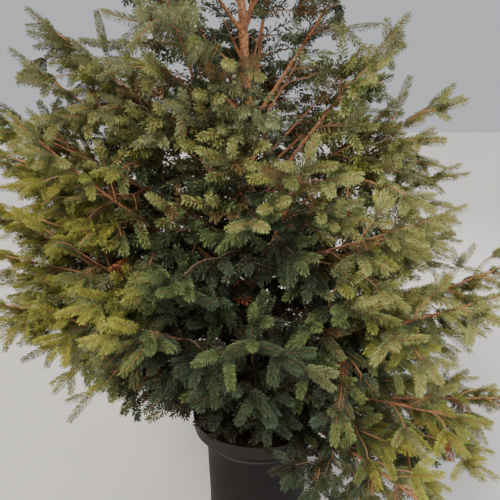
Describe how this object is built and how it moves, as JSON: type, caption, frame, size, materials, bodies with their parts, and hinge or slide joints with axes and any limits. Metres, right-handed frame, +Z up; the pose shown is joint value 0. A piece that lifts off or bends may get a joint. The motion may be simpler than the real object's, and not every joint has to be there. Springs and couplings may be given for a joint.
{
  "type": "potted spruce tree",
  "caption": "Young bushy spruce with a straight trunk, rising whorled boughs and drooping needle sprays, standing in a wide-collared black nursery pot of soil.",
  "frame": {"origin": "middle of the pot's flat underside", "axes": "+Z up along the tree, -Y towards the side that the picture shows, +X to that side's right"},
  "size_m": [2.0476, 1.7308, 3.0181],
  "materials": {
    "pot": "dull black recycled plastic, a little dusty",
    "soil": "dark crumbly potting soil",
    "bark": "thin scaly orange-brown bark",
    "foliage": "short stiff green needles, yellow-green on the youngest shoots"
  },
  "bodies": {
    "root": {"pot": "pot", "soil": "soil", "trunk": "bark", "bough_low_1": "bark", "bough_low_2": "bark", "bough_low_3": "bark", "bough_low_4": "bark", "bough_second_1": "bark", "bough_second_2": "bark", "bough_second_3": "bark", "bough_second_4": "bark", "bough_second_5": "bark", "bough_third_1": "bark", "bough_third_2": "bark", "bough_third_3": "bark", "bough_third_4": "bark", "bough_third_5": "bark", "bough_fourth_1": "bark", "bough_fourth_2": "bark", "bough_fourth_3": "bark", "bough_fourth_4": "bark", "bough_fourth_5": "bark", "bough_fifth_1": "bark", "bough_fifth_2": "bark", "bough_fifth_3": "bark", "bough_fifth_4": "bark", "foliage_low_1": "foliage", "foliage_low_2": "foliage", "foliage_low_3": "foliage", "foliage_low_4": "foliage", "foliage_low_5": "foliage", "foliage_second_1": "foliage", "foliage_second_2": "foliage", "foliage_second_3": "foliage", "foliage_second_4": "foliage", "foliage_second_5": "foliage", "foliage_third_1": "foliage", "foliage_third_2": "foliage", "foliage_third_3": "foliage", "foliage_third_4": "foliage", "foliage_third_5": "foliage", "foliage_fourth_1": "foliage", "foliage_fourth_2": "foliage", "foliage_fourth_3": "foliage", "foliage_fourth_4": "foliage", "foliage_fourth_5": "foliage", "foliage_fifth_1": "foliage", "foliage_fifth_2": "foliage", "foliage_fifth_3": "foliage", "foliage_fifth_4": "foliage", "foliage_sixth_1": "foliage", "foliage_sixth_2": "foliage", "foliage_sixth_3": "foliage", "foliage_seventh_1": "foliage", "foliage_seventh_2": "foliage", "foliage_seventh_3": "foliage", "foliage_top_1": "foliage", "foliage_top_2": "foliage", "foliage_top_3": "foliage", "foliage_leader": "foliage"}
  },
  "joints": []
}
